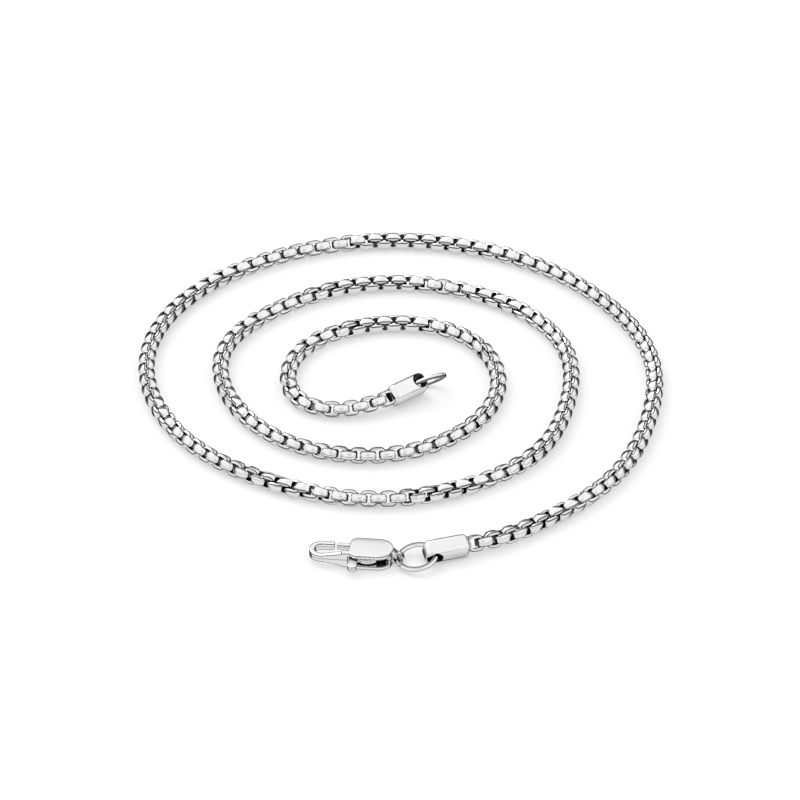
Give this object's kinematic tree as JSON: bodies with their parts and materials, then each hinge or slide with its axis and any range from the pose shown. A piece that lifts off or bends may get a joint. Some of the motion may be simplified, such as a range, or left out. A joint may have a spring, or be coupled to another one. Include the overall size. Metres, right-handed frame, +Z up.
{
  "type": "box chain necklace",
  "caption": "Rounded box chain in polished silver, laid unclasped in an open flat spiral, with square end caps, a lobster clasp and a plain end ring.",
  "frame": {"origin": "middle of the necklace's outline, on the surface it lies on", "axes": "+Z up from the surface, +Y away from the viewer, so the clasp lies at the near side (-Y) with its hook towards -X"},
  "size_m": [0.083, 0.096, 0.0045],
  "materials": {
    "chain_silver": "polished silver links",
    "cap_silver": "polished, softly domed silver sheet",
    "ring_silver": "polished silver wire",
    "clasp_silver": "polished silver casting"
  },
  "bodies": {
    "necklace": {"chain_outer": "chain_silver", "chain_inner": "chain_silver", "clasp_cap": "cap_silver", "ring_cap": "cap_silver", "jump_ring": "ring_silver", "end_ring": "ring_silver", "clasp_body": "clasp_silver", "clasp_pin": "clasp_silver"},
    "lever": {"clasp_lever": "clasp_silver"}
  },
  "joints": [
    {"name": "lever_hinge", "type": "hinge", "parent": "necklace", "child": "lever", "pos_m": [-0.00489, -0.04412, 0.0013], "axis": [0, 0, 1], "range_deg": [0, 18], "stiffness_Nm_per_rad": 0.004, "springref_deg": -28.65}
  ]
}
